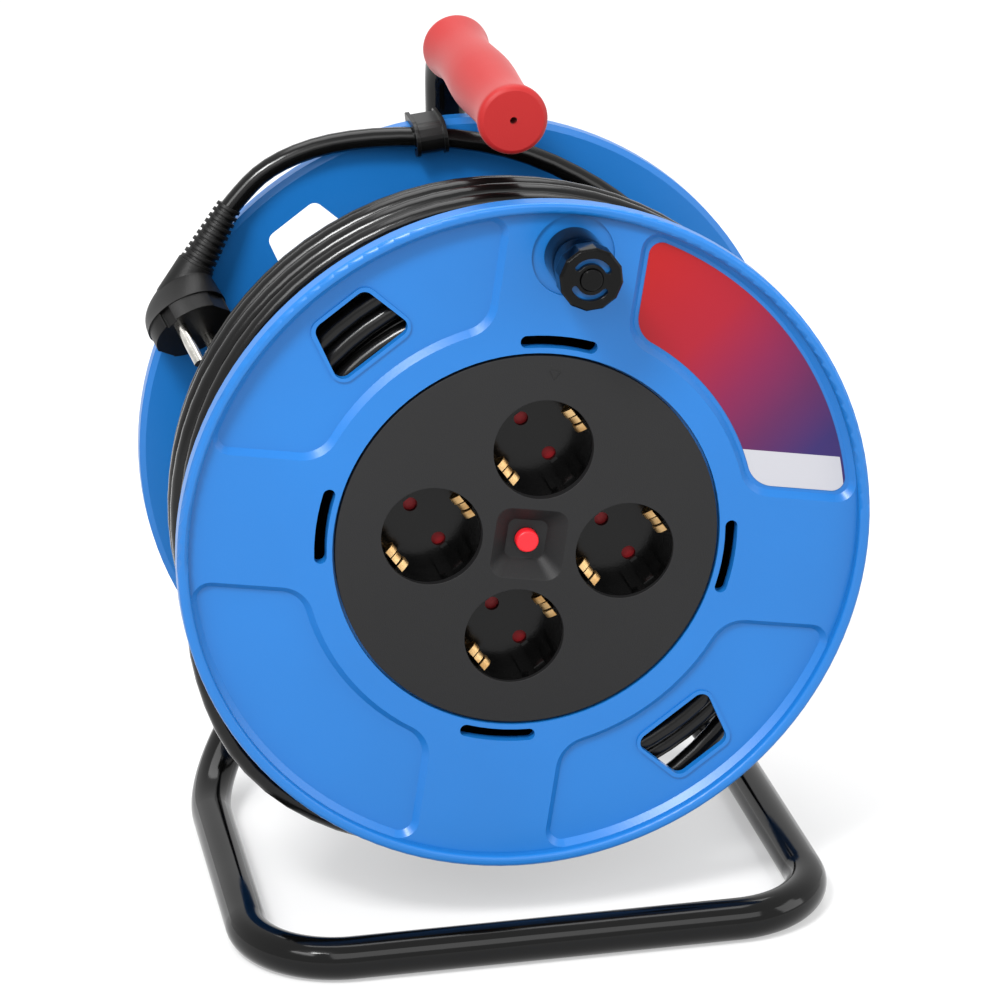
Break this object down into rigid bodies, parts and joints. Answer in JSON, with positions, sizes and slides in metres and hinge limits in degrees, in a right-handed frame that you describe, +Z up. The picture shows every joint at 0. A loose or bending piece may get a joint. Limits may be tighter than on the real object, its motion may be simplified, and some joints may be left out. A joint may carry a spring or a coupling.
{
  "type": "extension cord reel",
  "caption": "Portable extension cord reel: a two-flange cable drum with built-in sockets and a winding knob turns on a bent-tube stand with a carrying grip.",
  "frame": {"origin": "centre of the stand's footprint, on the floor", "axes": "+Z up, -Y is the front with the sockets, the drum turns about a line parallel to Y"},
  "size_m": [0.28, 0.2182, 0.349],
  "materials": {
    "blue_plastic": "satin moulded polypropylene",
    "black_plastic": "fine matte texture",
    "dark_cup": "smooth moulded",
    "gloss_black": "glossy",
    "painted_tube": "gloss black paint",
    "grip_red": "soft satin",
    "shutter_red": "matte",
    "button_red": "satin",
    "brass": "bright strip",
    "nickel": "bright nickel plate",
    "zinc_steel": "zinc plated",
    "cable_rubber": "satin",
    "plug_rubber": "matte",
    "sticker": "printed film, no lettering"
  },
  "bodies": {
    "stand": {"base_tube": "painted_tube", "handle_tube": "painted_tube", "grip": "grip_red", "hub_bracket": "black_plastic", "hub_cover": "black_plastic", "clamp_bolts": "zinc_steel", "axle": "zinc_steel", "axle_washer": "zinc_steel", "axle_screw": "zinc_steel"},
    "drum": {"front_flange": "blue_plastic", "rear_flange": "blue_plastic", "drum_core": "black_plastic", "core_gland": "black_plastic", "tie_bolts": "zinc_steel", "socket_plate": "black_plastic", "socket_cup_1": "dark_cup", "socket_cup_2": "dark_cup", "socket_cup_3": "dark_cup", "socket_cup_4": "dark_cup", "earth_clip_1": "brass", "earth_clip_2": "brass", "earth_clip_3": "brass", "earth_clip_4": "brass", "earth_ring": "brass", "contact_block": "black_plastic", "line_contacts": "brass", "neutral_contacts": "brass", "block_screws": "zinc_steel", "cutout_body": "black_plastic", "knob_screw": "gloss_black", "label": "sticker", "rim_clip": "black_plastic", "cable_coil": "cable_rubber", "cable_tail": "cable_rubber", "strain_relief": "plug_rubber", "plug_body": "plug_rubber", "plug_pins": "nickel"},
    "knob": {"knob": "gloss_black"},
    "reset_button": {"reset_button": "button_red"},
    "shutter_1": {"shutter_1": "shutter_red"},
    "shutter_2": {"shutter_2": "shutter_red"},
    "shutter_3": {"shutter_3": "shutter_red"},
    "shutter_4": {"shutter_4": "shutter_red"}
  },
  "joints": [
    {"name": "drum_spin", "type": "hinge", "parent": "stand", "child": "drum", "pos_m": [0, -0.0025, 0.1681], "axis": [0, 1, 0], "continuous": true},
    {"name": "knob_spin", "type": "hinge", "parent": "drum", "child": "knob", "pos_m": [0.01915, -0.0735, 0.28504], "axis": [0, 1, 0], "continuous": true},
    {"name": "reset_press", "type": "slide", "parent": "drum", "child": "reset_button", "axis": [0, 1, 0], "range_m": [0, 0.0025], "stiffness_N_per_m": 600},
    {"name": "shutter_1_turn", "type": "hinge", "parent": "drum", "child": "shutter_1", "pos_m": [0.03888, -0.051, 0.16173], "axis": [0, -1, 0], "range_deg": [0, 42], "stiffness_Nm_per_rad": 0.02},
    {"name": "shutter_2_turn", "type": "hinge", "parent": "drum", "child": "shutter_2", "pos_m": [0.00637, -0.051, 0.20698], "axis": [0, -1, 0], "range_deg": [0, 42], "stiffness_Nm_per_rad": 0.02},
    {"name": "shutter_3_turn", "type": "hinge", "parent": "drum", "child": "shutter_3", "pos_m": [-0.03888, -0.051, 0.17447], "axis": [0, -1, 0], "range_deg": [0, 42], "stiffness_Nm_per_rad": 0.02},
    {"name": "shutter_4_turn", "type": "hinge", "parent": "drum", "child": "shutter_4", "pos_m": [-0.00637, -0.051, 0.12922], "axis": [0, -1, 0], "range_deg": [0, 42], "stiffness_Nm_per_rad": 0.02}
  ]
}
